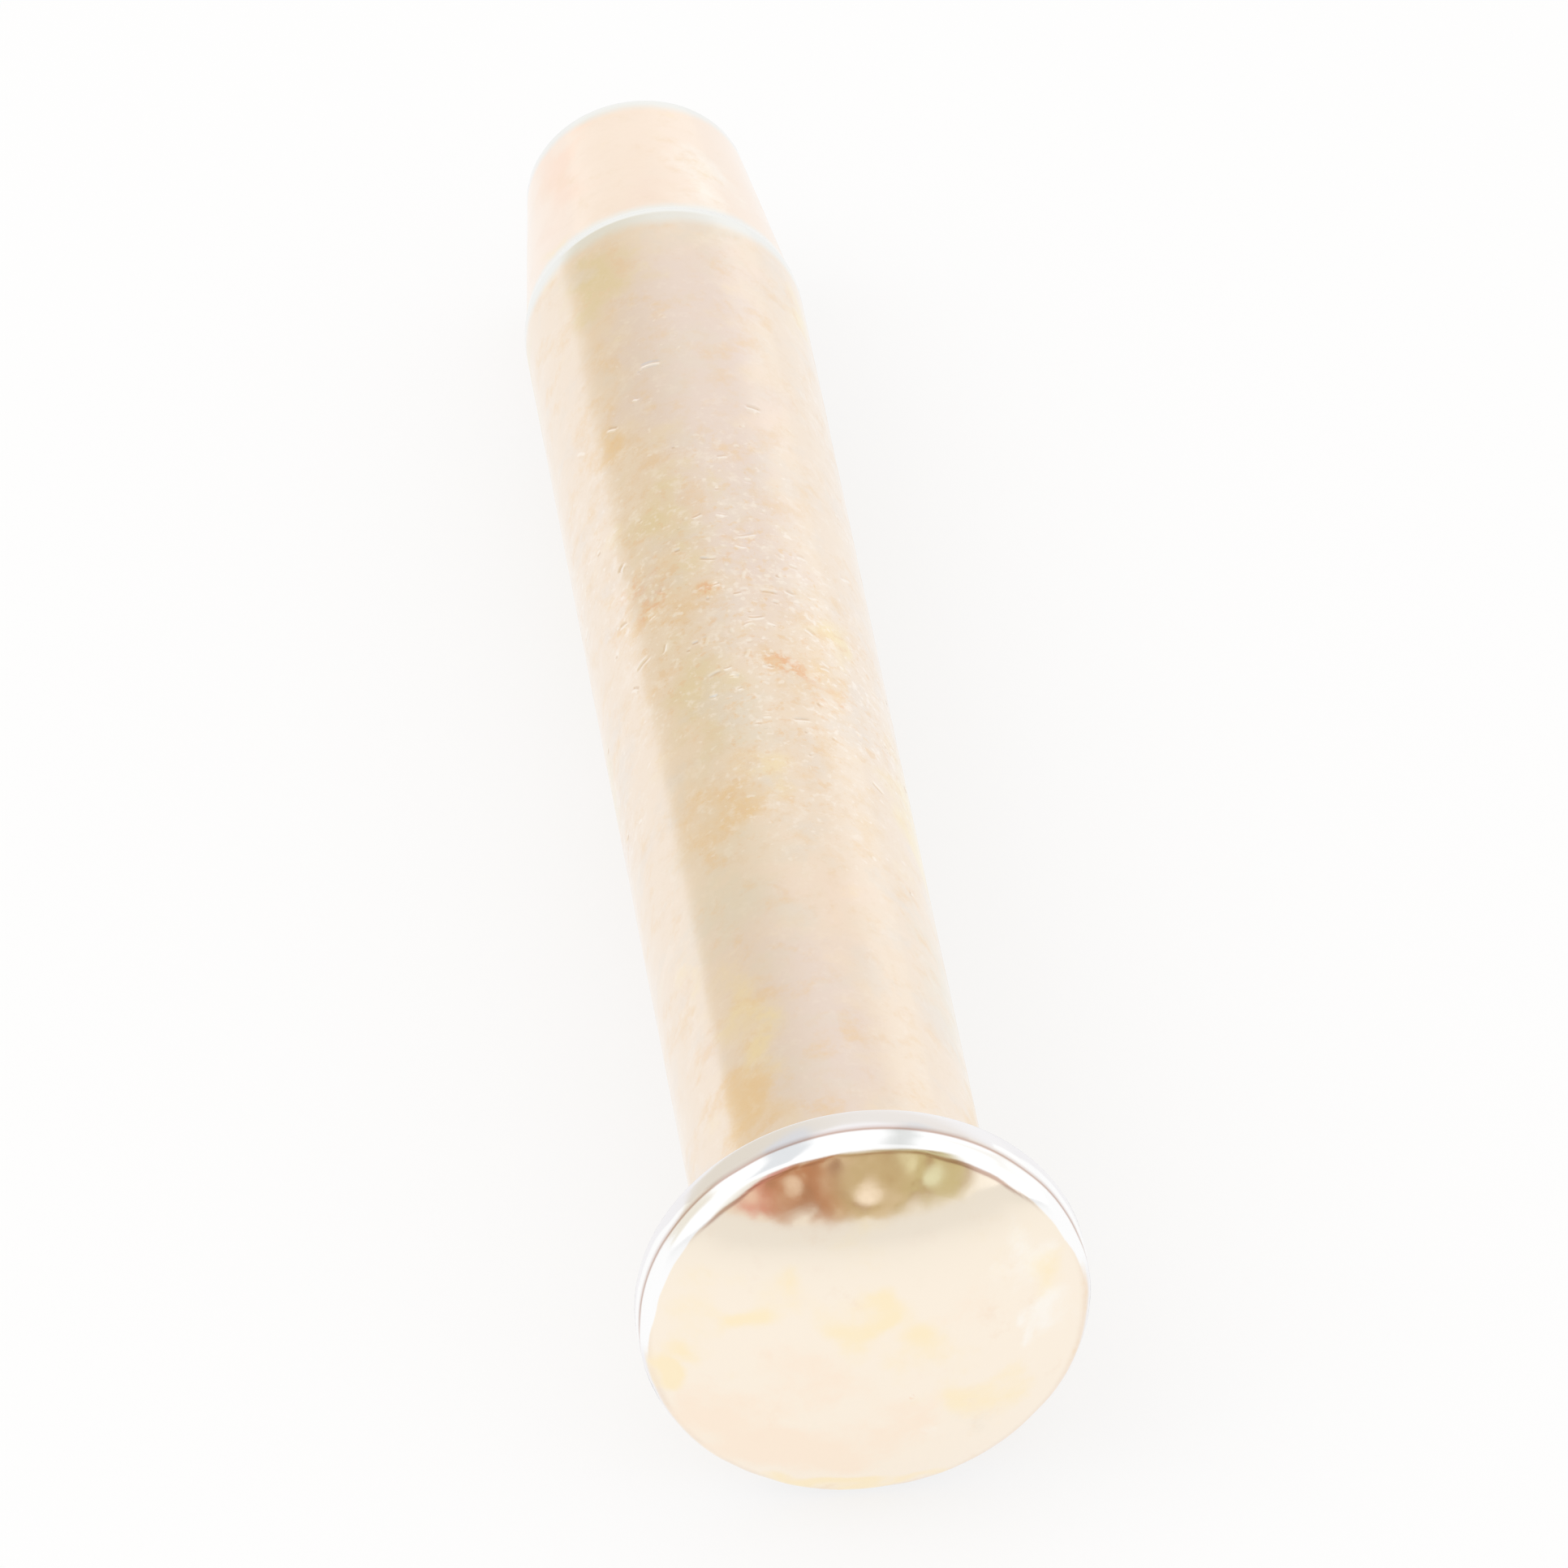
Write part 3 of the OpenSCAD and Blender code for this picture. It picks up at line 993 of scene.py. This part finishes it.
def far_side(g, d, left, up):
    """Beyond the rivet: a pale sweep whose top edge falls towards the left, and the room above."""
    tilt = np.cross(toward(0, 27), toward(42, -1))
    tilt *= np.sign(tilt[2]) / np.linalg.norm(tilt)
    above = g.ramp(g.dot(d, tilt), -0.03, 0.12)
    sweep = g.mix(g.ramp(up, 0.22, 0.48), SWEEP_LOW, SWEEP_HIGH)
    room = g.mix(g.ramp(left, -0.05, 0.55), ROOM_RIGHT, ROOM_LEFT)
    sky = g.mix(above, sweep, room)
    return g.mix(g.ramp(up, 0.72, 0.82), sky, OVERHEAD)


def broad_light(g, sky, away, left, up, behind):
    """The sky with a broad soft light on the camera's side, high up and at both sides."""
    high = g.ramp(up, 0.38, 0.48)
    wide = g.ramp(g.math("ABSOLUTE", g.math("ADD", left, 0.10)), 0.46, 0.62)
    lit = g.math("MAXIMUM", g.math("MULTIPLY", g.ramp(away, 0.50, 0.20), high),
                 g.math("MULTIPLY", behind, wide))
    sky = g.mix(lit, sky, OVERHEAD)
    top = g.ramp(up, 0.57, 0.66)
    for middle, half, shade in GAPS:
        off = g.math("ABSOLUTE", g.math("SUBTRACT", left, middle))
        sky = g.mix(g.math("MULTIPLY", top, g.ramp(off, half + 0.04, half - 0.04)), sky, shade)
    return sky


def murky(g, sky, d, left, up, behind):
    """The sky with a darker, mottled stretch below that light."""
    spread = g.ramp(g.math("ABSOLUTE", g.math("ADD", left, 0.155)), 0.50, 0.40)
    mottle = g.noise(d, *MURK_NOISE)
    uneven = noisy(g, up, mottle, MURK_SPREAD)
    deep = g.math("MULTIPLY", g.ramp(up, 0.46, 0.38), g.ramp(uneven, -0.02, 0.05))
    dark = g.math("MULTIPLY", g.math("MULTIPLY", behind, spread), deep)
    follows = {"across": noisy(g, left, mottle, MURK_SPREAD), "mottle": mottle}
    murk = MURK_BROWN
    for name, low, high, most, tone in MURK_TONES:
        murk = g.mix(g.ramp(follows[name], low, high, 0.0, most), murk, tone)
    for azimuth, elevation, size, glow in SPOTS:
        close = g.dot(d, toward(azimuth, elevation))
        outer = math.cos(math.radians(size + 1.0))
        inner = math.cos(math.radians(size - 1.0))
        murk = g.mix(g.ramp(close, outer, inner), murk, glow)
    return g.mix(dark, sky, murk)


def world():
    """Glossy rays see the studio round the rivet; the rest of the light is one plain level."""
    data = bpy.data.worlds.new("studio")
    bpy.context.scene.world = data
    data.use_nodes = True
    g = Graph(data.node_tree)
    d = g.add("ShaderNodeTexCoord").outputs["Generated"]
    away, left, up = g.dot(d, AWAY), g.dot(d, LEFT), g.dot(d, (0, 0, 1))
    behind = g.ramp(away, 0.10, -0.25)
    sky = far_side(g, d, left, up)
    sky = broad_light(g, sky, away, left, up, behind)
    sky = murky(g, sky, d, left, up, behind)

    path = g.add("ShaderNodeLightPath")
    mirrored = g.add("ShaderNodeBackground", {"Color": sky, "Strength": 1.0})
    plain = g.add("ShaderNodeBackground", {"Color": (1, 1, 1, 1), "Strength": PLAIN_LIGHT})
    shown = g.add("ShaderNodeBackground", {"Color": BACKDROP + (1,), "Strength": 1.0})
    rest = g.add("ShaderNodeMixShader", {0: path.outputs["Is Camera Ray"], 1: plain.outputs[0],
                                         2: shown.outputs[0]})
    both = g.add("ShaderNodeMixShader", {0: path.outputs["Is Glossy Ray"], 1: rest.outputs[0],
                                         2: mirrored.outputs[0]})
    out = g.add("ShaderNodeOutputWorld")
    g.tree.links.new(both.outputs[0], out.inputs["Surface"])
    data.cycles.sampling_method = "NONE"


KEY_AT = LEFT * 0.52 - AWAY * 0.12 + np.array([0, 0, 0.58])      # metres from the origin
KEY_SIZE = 0.55               # metres
KEY_ENERGY = 0.8              # watts


def key_light():
    """A soft lamp from the left that gives the shadow its direction."""
    data = bpy.data.lights.new("key", "AREA")
    data.shape = "DISK"
    data.size = KEY_SIZE
    data.energy = KEY_ENERGY
    obj = bpy.data.objects.new("key", data)
    obj.location = Vector(KEY_AT)
    obj.rotation_euler = (-Vector(KEY_AT)).to_track_quat("-Z", "Y").to_euler()
    obj.visible_glossy = False
    bpy.context.scene.collection.objects.link(obj)


camera()
rivet()
floor()
world()
key_light()
bpy.context.scene.view_settings.view_transform = "Standard"
